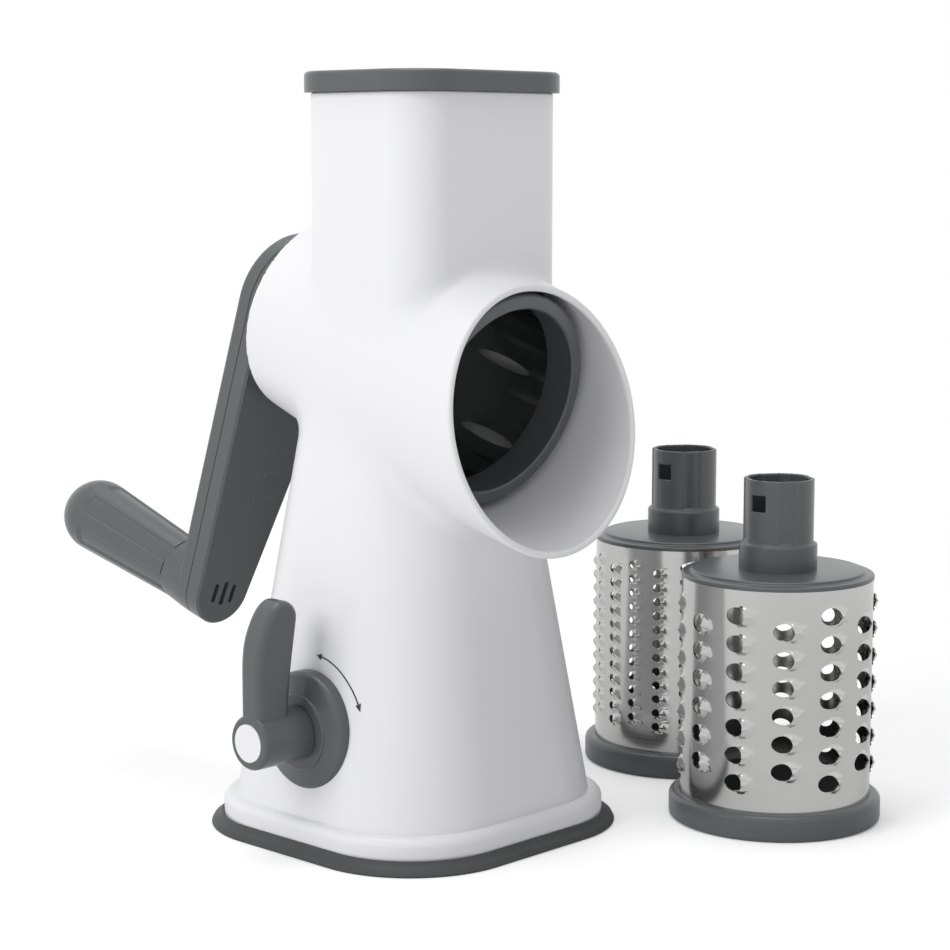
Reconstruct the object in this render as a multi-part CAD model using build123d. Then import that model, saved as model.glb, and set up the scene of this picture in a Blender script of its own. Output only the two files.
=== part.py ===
"""Rotary drum grater on a suction base, with two spare drums standing beside it.

Millimetres. Z is up, the origin is the middle of the suction pad's underside, the mouth faces -Y,
the crank is at +Y and the suction lever is on the -X side.
"""
import os
from math import atan2, cos, degrees, radians, sin

from build123d import *

# Barrel axis: it passes above the middle of the base and dips towards the mouth.
AXIS_Z = 170.0
AXIS_DIP = 16.0

# Hopper
HOPPER_Y = -10.9
HOPPER_X_HALF = 38.2
HOPPER_Y_HALF = 30.9
HOPPER_CORNER = 16.0
HOPPER_TOP = 262.6
WALL = 2.8

# Barrel, measured along its own axis, positive towards the mouth
BARREL_REAR = -47.5
BARREL_REAR_R = 38.0
BARREL_FRONT = 28.0
BARREL_FRONT_R = 44.4
BARREL_WALL = 2.5
MOUTH_AT = 67.8
MOUTH_R = 46.8
MOUTH_BORE = 44.2
MOUTH_LEAN = 25.3

# Pedestal and base
FOOT_Z = 12.0
FOOT_HALF = 55.8
FOOT_CORNER = 36.0
NECK_Z = 158.0
NECK_X_HALF = 37.0
NECK_Y_HALF = 32.0
NECK_CORNER = 27.0
SKIRT_Z = 4.0
SKIRT_HALF = 59.9
SKIRT_CORNER = 38.0
PLATE_Z0 = 5.5
PLATE_Z1 = 8.5
SCREW_XY = 38.5

# Suction pad
PAD_HALF = 64.1
PAD_CORNER = 41.0
PAD_EDGE = 1.2
PAD_SKIN = 0.8
LIFT_DISC_R = 20.0
LIFT_DISC_TOP = 3.0

# Suction lever, turning about X
LEVER_Z = 42.5
SHAFT_R = 5.0
ESCUTCHEON_R = 21.0
ESCUTCHEON_X = -57.0
LEVER_BACK_X = -57.3
LEVER_FACE_X = -79.0
LEVER_HUB_R = 9.6
LEVER_CAP_R = 6.6
PADDLE_OUT_X = -78.3
PADDLE_IN_X = -64.0
PADDLE_TIP_X = -60.0
PADDLE_TOP = 48.2
PADDLE_T = 11.0
CAM_R = 7.0
CAM_LIFT = 8.0
CAM_SWEEP = 100.0
CAM_GAP = 0.25
STEM_R = 7.0
POT_R = 24.0
POT_TOP = LIFT_DISC_TOP + CAM_LIFT + 3.0
GUIDE_TOP = POT_TOP + 8.0

# Pusher
CAP_LIP = 2.4
CAP_GAP = 0.2
CAP_H = 7.2
CAP_Z0 = HOPPER_TOP + CAP_GAP
CAP_Z1 = CAP_Z0 + CAP_H
PLUNGER_GAP = 0.7
PLUNGER_SKIN = 2.6
PLUNGER_BOTTOM_R = 38.0

# Drums, measured from the flange's front face towards the hub
DRUM_GAP = 0.8
SHEET_R = BARREL_REAR_R - BARREL_WALL - DRUM_GAP
SHEET_T = 0.6
SHEET_Z0 = 3.5
SHEET_Z1 = 90.0
FLANGE_R = SHEET_R + 4.0
FLANGE_H = 9.5
HUB_R = 12.35
HUB_BASE_R = 14.0
HUB_END = 124.5
DRUM_FRONT = 47.5
COARSE_XY = (96.1, -92.0)
FINE_XY = (139.1, -13.4)
# First column's angle and the angle between columns; the sheet's seam is in the gap that is left
COARSE_COLUMNS = (78.5, 28.6)
FINE_COLUMNS = (61.0, 17.7)

# Crank, measured along the barrel axis
RUN_GAP = 0.05
SLEEVE_R = 16.4
SLEEVE_END = -44.6
BUSH_R = 19.0
CRANK_IN = -55.0
CRANK_MID = -61.9
CRANK_OUT = -68.8
CRANK_END_R = 24.9
CRANK_TIP_R = 12.7
CRANK_LEN = 115.7
CRANK_SWING = -8.95
COLLAR_R = 12.6
BOSS_R = HUB_R + RUN_GAP + 1.6
SOCKET_END = DRUM_FRONT - HUB_END - 0.6
BOSS_END = SOCKET_END - 1.4
GRIP_START = -79.4
GRIP_DOME = -134.0
GRIP_R0 = 11.9
GRIP_R1 = 14.4
GRIP_END = GRIP_DOME - GRIP_R1
FLUTE_W = 7.0
FLUTE_DEPTH = 0.8
PIN_R = 3.0

BARREL = Plane(
    origin=(0, 0, AXIS_Z),
    x_dir=(1, 0, 0),
    z_dir=(0, -cos(radians(AXIS_DIP)), -sin(radians(AXIS_DIP))),
)
MOUTH = Plane(
    origin=(0, 0, MOUTH_AT),
    x_dir=(1, 0, 0),
    z_dir=(0, sin(radians(MOUTH_LEAN)), cos(radians(MOUTH_LEAN))),
)
BOTTOM = (Align.CENTER, Align.CENTER, Align.MIN)
PARTS = {}


def on_barrel(shape):
    """Put a shape made along +Z onto the barrel's axis."""
    return BARREL.location * shape


def rod(radius, z0, z1):
    low = min(z0, z1)
    return Pos(0, 0, low) * Cylinder(radius, abs(z1 - z0), align=BOTTOM)


def tube(r_out, r_in, z0, z1):
    return rod(r_out, z0, z1) - rod(r_in, z0 - 1, z1 + 1)


def rod_x(radius, x0, x1, y, z):
    low = min(x0, x1)
    return Pos(low, y, z) * Rot(0, 90, 0) * Cylinder(radius, abs(x1 - x0), align=BOTTOM)


def box(x0, x1, y0, y1, z0, z1):
    return Pos((x0 + x1) / 2, (y0 + y1) / 2, (z0 + z1) / 2) * Box(x1 - x0, y1 - y0, z1 - z0)


def outline(half_x, half_y, corner, y, z):
    return Pos(0, y, z) * RectangleRounded(2 * half_x, 2 * half_y, corner)


def prism(half_x, half_y, corner, z0, z1, y=0.0):
    """Upright prism with a rounded-rectangle outline."""
    return extrude(outline(half_x, half_y, corner, y, z0), z1 - z0)


def block(half, corner, z0, z1):
    """Upright prism with a rounded-square outline, in the middle of the base."""
    return prism(half, half, corner, z0, z1)


def revolved(points):
    """Turn a closed outline of (radius, height) points about Z."""
    return revolve(Plane.XZ * make_face(Polyline(*points, close=True)), axis=Axis.Z)


def half_space(above, level):
    """Everything above or below a plane that runs along the barrel's axis."""
    y = level + 200 if above else level - 200
    return on_barrel(Pos(0, y, 0) * Box(400, 400, 600))


def four_corners(shape, at):
    return [Pos(sx * at, sy * at, 0) * shape for sx in (-1, 1) for sy in (-1, 1)]


def save(name, shape):
    PARTS[name] = shape


# Housing: hopper, barrel and pedestal in one moulding
barrel = revolved([
    (0, BARREL_REAR), (BARREL_REAR_R - 1.2, BARREL_REAR), (BARREL_REAR_R, BARREL_REAR + 1.2),
    (BARREL_FRONT_R, BARREL_FRONT), (0, BARREL_FRONT),
])
barrel += loft([Pos(0, 0, BARREL_FRONT) * Circle(BARREL_FRONT_R), MOUTH * Circle(MOUTH_R)])
bore = revolved([
    (0, BARREL_REAR + BARREL_WALL), (BARREL_REAR_R - 2.4, BARREL_REAR + BARREL_WALL),
    (BARREL_FRONT_R - BARREL_WALL, BARREL_FRONT), (0, BARREL_FRONT),
])
bore += loft([Pos(0, 0, BARREL_FRONT) * Circle(BARREL_FRONT_R - BARREL_WALL), MOUTH * Circle(MOUTH_BORE)])
barrel = on_barrel(barrel)
bore = on_barrel(bore)

hopper = prism(HOPPER_X_HALF, HOPPER_Y_HALF, HOPPER_CORNER, 140, HOPPER_TOP, HOPPER_Y)
hopper = hopper & half_space(True, 4.0)
THROAT_X = HOPPER_X_HALF - WALL
THROAT_Y = HOPPER_Y_HALF - WALL
THROAT_CORNER = HOPPER_CORNER - WALL
throat = prism(THROAT_X, THROAT_Y, THROAT_CORNER, 140, HOPPER_TOP + 1, HOPPER_Y)
throat = throat & half_space(True, 10.0)


def pedestal_form(inset):
    """Tapered body of the pedestal, or the same form moved in by a wall."""
    foot = outline(FOOT_HALF - inset, FOOT_HALF - inset, FOOT_CORNER - inset, 0, FOOT_Z)
    neck = outline(NECK_X_HALF - inset, NECK_Y_HALF - inset, NECK_CORNER - inset, 0, NECK_Z)
    return loft([foot, neck])


pedestal = pedestal_form(0)
hollow = pedestal_form(3.0) & half_space(False, -45.5)

housing = barrel + hopper + (pedestal & half_space(False, -6.0))
housing = housing - bore - throat - hollow
for post in four_corners(rod(5.5, FOOT_Z, 45.0), SCREW_XY):
    housing += post & pedestal
for hole in four_corners(rod(1.5, FOOT_Z - 1, 32.0), SCREW_XY):
    housing -= hole
housing -= rod_x(7.2, -62.0, -40.0, 0, LEVER_Z)
housing -= on_barrel(rod(BUSH_R, BARREL_REAR - 1, BARREL_REAR + BARREL_WALL + 1))
save("housing", housing)
save("crank_bush", on_barrel(tube(BUSH_R, SLEEVE_R + RUN_GAP, BARREL_REAR - 0.4, SLEEVE_END)))

# Base: skirt, floor plate and the screws that hold them to the housing
skirt = block(SKIRT_HALF, SKIRT_CORNER, SKIRT_Z, FOOT_Z)
skirt = fillet(skirt.faces().sort_by(Axis.Z)[-1].edges(), 3.0)
skirt -= block(46.0, 28.0, PLATE_Z1 - 0.1, FOOT_Z + 1)
skirt -= block(52.7, 31.2, SKIRT_Z - 1, PLATE_Z1)
for hole in four_corners(rod(1.8, 0, 20), SCREW_XY):
    skirt -= hole
save("base_ring", skirt)

plate = block(52.5, 31.0, PLATE_Z0, PLATE_Z1)
plate += rod(POT_R, PLATE_Z1, POT_TOP) + rod(STEM_R + 3.0, POT_TOP, GUIDE_TOP)
plate += box(10, 16, -9, 9, POT_TOP - 1, LEVER_Z + 8.5)
plate -= rod(LIFT_DISC_R + 0.6, 0, LIFT_DISC_TOP + CAM_LIFT + 0.3)
plate -= rod(STEM_R + RUN_GAP, 0, GUIDE_TOP + 1)
plate -= rod_x(SHAFT_R + RUN_GAP, 9, 17, 0, LEVER_Z)
for hole in four_corners(rod(1.8, 0, 20), SCREW_XY):
    plate -= hole
save("base_plate", plate)

screw = rod(3.4, 4.3, PLATE_Z0) + rod(1.5, PLATE_Z0, 28.0)
save("base_screws", Compound(children=four_corners(screw, SCREW_XY)))

# Suction pad: a flared rubber sheet with a thin middle, and the disc that the lever draws up
pad = block(PAD_HALF, PAD_CORNER, 0, PAD_EDGE)
pad += loft([
    outline(PAD_HALF, PAD_HALF, PAD_CORNER, 0, PAD_EDGE),
    outline(59.6, 59.6, 37.8, 0, SKIRT_Z),
])
pad += block(52.4, 30.9, SKIRT_Z - 0.1, PLATE_Z0)
pad -= rod(LIFT_DISC_R + 0.3, PAD_SKIN, 10)
for hole in four_corners(rod(3.8, 3.8, 8), SCREW_XY):
    pad -= hole
save("suction_pad", pad)
save("lift_disc", rod(LIFT_DISC_R, PAD_SKIN + 0.05, LIFT_DISC_TOP))

# Stem: a round rod with a window that the cam works in
window_top = LEVER_Z + CAM_R + CAM_GAP
window_foot = LEVER_Z - CAM_R - CAM_LIFT - CAM_GAP
window_y = CAM_R + CAM_LIFT + 1.2
stem = rod(STEM_R, LIFT_DISC_TOP, window_foot - 1)
stem += box(-5, 5, -window_y - 3.5, window_y + 3.5, window_foot - 4.0, window_top + 4.0)
stem -= box(-6, 6, -window_y, window_y, window_foot, window_top)
save("suction_stem", stem)

# Suction lever with its bush, shaft, cam, screw and end disc
escutcheon = rod_x(ESCUTCHEON_R, -46.0, ESCUTCHEON_X, 0, LEVER_Z)
front = escutcheon.faces().sort_by(Axis.X)[0].edges()
escutcheon = chamfer(front, 3.5)
escutcheon -= pedestal
escutcheon -= rod_x(7.0, -40, -60, 0, LEVER_Z)
save("lever_escutcheon", escutcheon)
lever_bush = rod_x(7.0, -44.0, -56.8, 0, LEVER_Z) - rod_x(SHAFT_R + RUN_GAP, -40, -60, 0, LEVER_Z)
save("lever_bush", lever_bush)

# Cam outline: it lifts a flat face evenly over the sweep, and is round for the rest of the turn
CAM_RISE = CAM_LIFT / radians(CAM_SWEEP)
cam_points = []
for turn in range(0, 101, 5):
    t = radians(turn)
    reach = CAM_R + CAM_RISE * t
    cam_points.append((reach * sin(t) + CAM_RISE * cos(t), reach * cos(t) - CAM_RISE * sin(t)))
for turn in range(180, 361, 10):
    cam_points.append((CAM_R * sin(radians(turn)), CAM_R * cos(radians(turn))))
cam = extrude(Plane.YZ * make_face(Polyline(*cam_points, close=True)), 4.0, both=True)
shaft = rod_x(SHAFT_R, -71.0, 16.0, 0, LEVER_Z) + Pos(0, 0, LEVER_Z) * cam
shaft -= rod_x(1.6, -72.0, -58.0, 0, LEVER_Z)
save("lever_shaft", shaft)

# The lever's paddle stands on the hub, broad along the axis, and leans in over the pedestal at its tip
tip_z = PADDLE_TOP - 7.0
paddle = make_face([
    Line((PADDLE_IN_X, 0), (PADDLE_OUT_X, 0)),
    Line((PADDLE_OUT_X, 0), (PADDLE_OUT_X, 22)),
    Spline(
        (PADDLE_OUT_X, 22), (PADDLE_OUT_X + 4.2, PADDLE_TOP - 6.5),
        ((PADDLE_OUT_X + PADDLE_TIP_X) / 2 + 2.5, PADDLE_TOP),
        (PADDLE_TIP_X, tip_z), tangents=[(0, 1), (-0.15, -1)],
    ),
    Spline((PADDLE_TIP_X, tip_z), (PADDLE_IN_X, 8), tangents=[(-0.15, -1), (0, -1)]),
    Line((PADDLE_IN_X, 8), (PADDLE_IN_X, 0)),
])
paddle = Pos(0, 0, LEVER_Z) * extrude(Plane.XZ * paddle, PADDLE_T / 2, both=True)
sides = paddle.faces().sort_by(Axis.Y)
paddle = fillet(sides[0].edges() + sides[-1].edges(), 3.0)
hub = rod_x(LEVER_HUB_R, LEVER_BACK_X, LEVER_FACE_X, 0, LEVER_Z)
hub = fillet(hub.faces().sort_by(Axis.X)[0].edges(), 1.6)
lever = paddle + hub
lever -= rod_x(SHAFT_R, LEVER_BACK_X + 1, -71.0, 0, LEVER_Z)
lever -= rod_x(1.7, -70.0, -76.0, 0, LEVER_Z)
lever -= rod_x(4.6, -75.2, -78.0, 0, LEVER_Z)
lever -= rod_x(LEVER_CAP_R + 0.1, -77.6, -80.0, 0, LEVER_Z)
save("suction_lever", lever)
save("lever_screw", rod_x(4.2, -75.2, -77.4, 0, LEVER_Z) + rod_x(1.6, -75.2, -60.0, 0, LEVER_Z))
save("lever_cap", rod_x(LEVER_CAP_R, -77.6, -79.4, 0, LEVER_Z))

# Pusher: the grey lid and the plunger under it, hollowed to the drum's curve
CAP_SIZES = [size + CAP_LIP for size in (HOPPER_X_HALF, HOPPER_Y_HALF, HOPPER_CORNER)]
cap = prism(*CAP_SIZES, CAP_Z0, CAP_Z1, HOPPER_Y)
cap = fillet(cap.faces().sort_by(Axis.Z)[-1].edges(), 1.6)
save("pusher_cap", cap)


def plunger_form(inset, bottom):
    """Throat form moved in by a gap, from the cap down to a curve about the barrel's axis."""
    form = prism(THROAT_X - inset, THROAT_Y - inset, THROAT_CORNER - inset, 150, CAP_Z0, HOPPER_Y)
    form = form & half_space(True, 12.0)
    return form - on_barrel(rod(bottom, -120, 120))


plunger = plunger_form(PLUNGER_GAP, PLUNGER_BOTTOM_R)
plunger -= plunger_form(PLUNGER_GAP + PLUNGER_SKIN, PLUNGER_BOTTOM_R + PLUNGER_SKIN)
save("pusher_plunger", plunger)


def round_hole(radius):
    return Rot(0, 90, 0) * Cylinder(radius, 12)


def slit(length, width):
    return Rot(0, 90, 0) * extrude(SlotOverall(length, width), 6, both=True)


def hole_field(cutter, columns, heights, first=0.0, pitch=45.0):
    """Copies of a cutter around the drum, each second column at its own heights. Angles in degrees."""
    cutters = []
    for column in range(columns):
        for height in heights[column % 2]:
            cutters.append(Rot(0, 0, first + column * pitch) * Pos(SHEET_R, 0, height) * cutter)
    return cutters


def rows(count, pitch, middle=50.0):
    return [middle + pitch * (i - (count - 1) / 2) for i in range(count)]


def drum_sheet(cutters):
    sheet = tube(SHEET_R, SHEET_R - SHEET_T, SHEET_Z0, SHEET_Z1)
    return sheet - cutters


def drum_ring():
    """Flange round the open end, with a lip that covers the sheet's edge."""
    inside = SHEET_R - SHEET_T
    return revolved([
        (inside + 0.6, 0.0), (FLANGE_R - 1.4, 0.0), (FLANGE_R, 1.4), (FLANGE_R, FLANGE_H - 1.0),
        (FLANGE_R - 1.0, FLANGE_H), (SHEET_R, FLANGE_H), (SHEET_R, SHEET_Z0), (inside, SHEET_Z0),
        (inside, 0.6),
    ])


def drum_hub():
    """End plate with the hub that locks into the crank."""
    inside = SHEET_R - SHEET_T
    hub = revolved([
        (0, 85.0), (inside, 85.0), (inside, 89.0), (inside - 2.6, 89.0), (inside - 3.6, 91.0),
        (HUB_BASE_R, 91.0),
        (HUB_BASE_R, 99.5), (HUB_R, 100.5), (HUB_R, HUB_END), (9.5, HUB_END), (9.5, 94.0), (0, 94.0),
    ])
    hub -= box(-20, -5, -3, 3, HUB_END - 11.5, HUB_END - 5.5)
    hub -= box(-2.5, 2.5, -20, 20, HUB_END - 4.0, HUB_END + 1)
    return hub


def place_drum(name, cutters, location):
    save(name + "_sheet", location * drum_sheet(cutters))
    save(name + "_ring", location * drum_ring())
    save(name + "_hub", location * drum_hub())


# Three drums: the slicing one is in the barrel, the two graters stand on their flanges
in_barrel = BARREL.location * Pos(0, 0, DRUM_FRONT) * Rot(180, 0, 0)
place_drum("slicing_drum", hole_field(slit(26, 4.0), 8, [rows(2, 32), rows(2, 32, 42.0)]), in_barrel)
coarse_heights = [rows(7, 10.07), rows(6, 10.07)]
coarse_holes = hole_field(round_hole(3.3), 12, coarse_heights, *COARSE_COLUMNS)
place_drum("coarse_drum", coarse_holes, Pos(*COARSE_XY, 0))
fine_heights = [rows(12, 5.5), rows(12, 5.5, 52.75)]
fine_holes = hole_field(round_hole(1.75), 20, fine_heights, *FINE_COLUMNS)
place_drum("fine_drum", fine_holes, Pos(*FINE_XY, 0))


def arm_outline(inset):
    circles = Circle(CRANK_END_R - inset) + Pos(0, -CRANK_LEN) * Circle(CRANK_TIP_R - inset)
    return make_hull(circles.edges())


def arm_slab(inset, z0, z1):
    low = min(z0, z1)
    return Pos(0, 0, low) * extrude(arm_outline(inset), abs(z1 - z0))


# Crank: two half shells, hub socket behind, screws, and the grip on its pin
ARM_SCREWS = ((0, -50), (0, -88))
keep = rod(CRANK_END_R - 2.9, CRANK_IN, CRANK_OUT) + Pos(0, -CRANK_LEN, 0) * rod(8.5, CRANK_MID, CRANK_OUT)
for x, y in ARM_SCREWS:
    keep += Pos(x, y, 0) * rod(5.0, CRANK_IN, CRANK_OUT)

inner_half = arm_slab(0, CRANK_IN, CRANK_MID)
inner_half = chamfer(inner_half.faces().sort_by(Axis.Z)[-1].edges(), 0.8)
inner_half -= arm_slab(2.6, CRANK_IN - 2.6, CRANK_MID) - keep
for dx, slot_length in ((-4.4, 7.6), (0, 9.6), (4.4, 7.6)):
    slot = extrude(SlotOverall(slot_length, 1.9, rotation=90), 8.0)
    inner_half -= Pos(dx, -CRANK_LEN, CRANK_IN - 7) * slot
outer_half = arm_slab(0, CRANK_MID, CRANK_OUT)
outer_half = fillet(outer_half.faces().sort_by(Axis.Z)[0].edges(), 2.0)
outer_half -= arm_slab(2.6, CRANK_MID, CRANK_OUT + 2.6) - keep
outer_half += Pos(0, -CRANK_LEN, 0) * revolved([
    (0, CRANK_OUT + 2.5), (COLLAR_R, CRANK_OUT + 2.5), (COLLAR_R, CRANK_OUT), (GRIP_R0, GRIP_START + 0.5),
    (0, GRIP_START + 0.5),
])
outer_half -= Pos(0, -CRANK_LEN, 0) * rod(5.5, CRANK_MID, CRANK_MID - 2.4)
outer_half -= Pos(0, -CRANK_LEN, 0) * rod(PIN_R, CRANK_MID - 2.0, GRIP_START)
arm_screws = []
for x, y in ARM_SCREWS:
    outer_half -= Pos(x, y, 0) * rod(3.2, CRANK_OUT - 1, CRANK_OUT + 2.2)
    outer_half -= Pos(x, y, 0) * rod(1.7, CRANK_OUT, CRANK_MID + 1)
    inner_half -= Pos(x, y, 0) * rod(1.4, CRANK_MID - 1, CRANK_IN - 2.2)
    head = rod(3.0, CRANK_OUT + 0.6, CRANK_OUT + 2.2)
    arm_screws.append(Pos(x, y, 0) * (head + rod(1.4, CRANK_OUT + 2.2, CRANK_IN - 2.6)))
swing = Rot(0, 0, CRANK_SWING)
inner_half = swing * inner_half
outer_half = swing * outer_half

# The sleeve runs in the barrel's rear bush, and the drum's hub slides into the socket
sleeve = rod(CRANK_END_R - 1.5, CRANK_IN, BARREL_REAR - 0.8) + rod(SLEEVE_R, CRANK_IN, SLEEVE_END)
socket = rod(HUB_BASE_R + 0.3, -40.0, DRUM_FRONT - 101.0) + rod(HUB_R + RUN_GAP, -50.0, SOCKET_END)
inner_half -= socket
save("crank_sleeve", on_barrel(sleeve - socket))
boss = rod(BOSS_R, CRANK_OUT + 1, BOSS_END)
outer_half += chamfer(boss.faces().sort_by(Axis.Z)[0].edges(), 0.9)
outer_half -= socket
for side_y in (-1, 1):
    outer_half += box(-2.2, 2.2, side_y * 11.1 - 1.4, side_y * 11.1 + 1.4, SOCKET_END - 0.5, SOCKET_END + 4.4)
save("crank_arm_inner", on_barrel(inner_half))
save("crank_arm_outer", on_barrel(outer_half))
save("arm_screws", on_barrel(swing * Compound(children=arm_screws)))

pin_end = GRIP_END + 12.0
pin = rod(5.5, CRANK_MID - 0.2, CRANK_MID - 2.4) + rod(PIN_R, CRANK_MID - 2.0, pin_end)
pin += rod(3.6, pin_end + 6.0, pin_end)
save("grip_pin", on_barrel(swing * Pos(0, -CRANK_LEN, 0) * pin))
grip_outline = make_face([
    Line((0, GRIP_START), (GRIP_R0, GRIP_START)),
    Line((GRIP_R0, GRIP_START), (GRIP_R1, GRIP_DOME)),
    CenterArc((0, GRIP_DOME), GRIP_R1, 0, -90),
    Line((0, GRIP_END), (0, GRIP_START)),
])
grip = revolve(Plane.XZ * grip_outline, axis=Axis.Z)
grip_length = GRIP_START - GRIP_DOME
lean = degrees(atan2(GRIP_R1 - GRIP_R0, grip_length))
for k in range(6):
    flute = Box(4.0, FLUTE_W, grip_length - 1, align=(Align.MIN, Align.CENTER, Align.MAX))
    flute = Pos(GRIP_R0 - FLUTE_DEPTH, 0, GRIP_START + 2) * Rot(0, -lean, 0) * flute
    grip -= Rot(0, 0, 30 + 60 * k) * flute
grip -= rod(PIN_R + RUN_GAP, GRIP_START + 1, pin_end + 6.5) + rod(3.7, pin_end + 6.5, pin_end - 0.6)
save("crank_grip", on_barrel(swing * Pos(0, -CRANK_LEN, 0) * grip))

os.makedirs("parts", exist_ok=True)
for name, shape in PARTS.items():
    export_step(shape, "parts/" + name + ".step")
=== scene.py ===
from math import cos, pi, radians, sin, tan

import bmesh
import bpy
import numpy as np
from mathutils import Matrix, Vector


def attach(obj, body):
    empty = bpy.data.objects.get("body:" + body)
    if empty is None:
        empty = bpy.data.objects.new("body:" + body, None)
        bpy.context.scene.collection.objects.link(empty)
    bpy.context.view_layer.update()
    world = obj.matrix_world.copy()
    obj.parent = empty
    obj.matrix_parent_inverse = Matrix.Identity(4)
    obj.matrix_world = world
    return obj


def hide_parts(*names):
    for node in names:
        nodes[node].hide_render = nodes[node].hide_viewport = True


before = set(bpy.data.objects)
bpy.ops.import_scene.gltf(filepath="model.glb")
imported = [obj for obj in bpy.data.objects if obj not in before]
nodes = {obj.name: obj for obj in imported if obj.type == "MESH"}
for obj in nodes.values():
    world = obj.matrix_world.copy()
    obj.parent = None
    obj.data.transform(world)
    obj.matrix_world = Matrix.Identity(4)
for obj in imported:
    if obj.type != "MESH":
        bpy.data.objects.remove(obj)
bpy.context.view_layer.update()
MM = 0.001


# Suction pad: one flared sheet of soft black rubber under the base.
# It is moulded with a rolled lip and clamped between the base plate and the skirt.
PAD_HALF = 64.1
PAD_CORNER = 41.0
PAD_LIP = 0.6
PAD_TOP = 4.0
PAD_FLAT = 20.0
PAD_CURVE_IN = -1.5
PAD_CURVE_RISE = 3.7
PAD_CURVE_R = 6.0
PAD_CURVE_SWEEP = (292, 332)
PAD_NECK = 4.6
PAD_SEAT = 12.0
PAD_SKIN = 0.8
PAD_RECESS = 20.3
POLE = 0.01


def mesh_object(name, points, quads, normals=None):
    """Smooth mesh object at the origin, from points in millimetres and faces of four corners."""
    mesh = bpy.data.meshes.new(name)
    mesh.vertices.add(len(points))
    mesh.vertices.foreach_set("co", (points * MM).astype(np.float32).ravel())
    mesh.loops.add(quads.size)
    mesh.loops.foreach_set("vertex_index", quads.astype(np.int32).ravel())
    mesh.polygons.add(len(quads))
    mesh.polygons.foreach_set("loop_start", np.arange(0, quads.size, 4, dtype=np.int32))
    mesh.update(calc_edges=True)
    mesh.shade_smooth()
    if normals is not None:
        mesh.normals_split_custom_set_from_vertices(normals)
    obj = bpy.data.objects.new(name, mesh)
    bpy.context.scene.collection.objects.link(obj)
    return obj


def grid_quads(rows, columns, first=0, around=True, along=False):
    """Faces of a grid of points numbered row by row; around closes each row, along closes each column."""
    index = first + np.arange(rows * columns).reshape(rows, columns)
    here = index if along else index[:-1]
    above = np.roll(index, -1, axis=0)[: len(here)]
    quads = np.stack([here, np.roll(here, -1, axis=1), np.roll(above, -1, axis=1), above], axis=-1)
    if not around:
        quads = quads[:, :-1]
    return quads.reshape(-1, 4)


def surface(name, points, around=True, along=False):
    """Mesh of a grid of points given as an array of rows, columns and coordinates."""
    rows, columns = points.shape[:2]
    return mesh_object(name, points.reshape(-1, 3), grid_quads(rows, columns, 0, around, along))


def rounded_rectangle(half_x, half_y, corner, count):
    """Outline with round corners: each point lies on the quarter circle about its own corner's centre."""
    turn = (np.arange(count) + 0.5) * 2 * pi / count
    side_x = np.sign(np.cos(turn)) * (half_x - corner)
    side_y = np.sign(np.sin(turn)) * (half_y - corner)
    return side_x + corner * np.cos(turn), side_y + corner * np.sin(turn)


def wall(profile, half_x, half_y, corner, count=160):
    """A profile of (inset, height) points carried round a rounded rectangle."""
    rows = []
    for inset, height in profile:
        tight = max(corner - inset, POLE)
        x, y = rounded_rectangle(half_x - inset, half_y - inset, tight, count)
        rows.append(np.stack([x, y, np.full(count, height)], axis=-1))
    return np.array(rows)


def arc(middle_x, middle_y, radius, start, end, count):
    """Points of a circle's arc, between two angles in degrees."""
    turn = np.radians(np.linspace(start, end, count))
    return np.stack([middle_x + radius * np.cos(turn), middle_y + radius * np.sin(turn)], axis=-1).tolist()


def new_group(name, inputs, outputs):
    """Shader group with float sockets; returns it with its input and output nodes."""
    group = bpy.data.node_groups.new(name, "ShaderNodeTree")
    for label, value in inputs.items():
        socket = group.interface.new_socket(label, in_out="INPUT", socket_type="NodeSocketFloat")
        socket.default_value = value
    for label in outputs:
        group.interface.new_socket(label, in_out="OUTPUT", socket_type="NodeSocketFloat")
    return group, group.nodes.new("NodeGroupInput"), group.nodes.new("NodeGroupOutput")


def grain_group():
    """Fine moulding grain as a height and slow cloudy differences as a mask, both on Object coordinates."""
    group, start, end = new_group("moulding_grain", {"Grain": 900.0, "Cloud": 25.0}, ["Height", "Mask"])
    place = group.nodes.new("ShaderNodeTexCoord")
    for label, output, detail in (("Grain", "Height", 2.0), ("Cloud", "Mask", 4.0)):
        noise = group.nodes.new("ShaderNodeTexNoise")
        noise.inputs["Detail"].default_value = detail
        group.links.new(place.outputs["Object"], noise.inputs["Vector"])
        group.links.new(start.outputs[label], noise.inputs["Scale"])
        group.links.new(noise.outputs["Fac"], end.inputs[output])
    return group


GRAIN = grain_group()
GLOSS_SPREAD = 0.05


def remap(material, value, low, high):
    """Map Range node that takes a 0 to 1 mask to another range."""
    node = material.node_tree.nodes.new("ShaderNodeMapRange")
    node.inputs["To Min"].default_value = low
    node.inputs["To Max"].default_value = high
    material.node_tree.links.new(value, node.inputs["Value"])
    return node.outputs["Result"]


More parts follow.
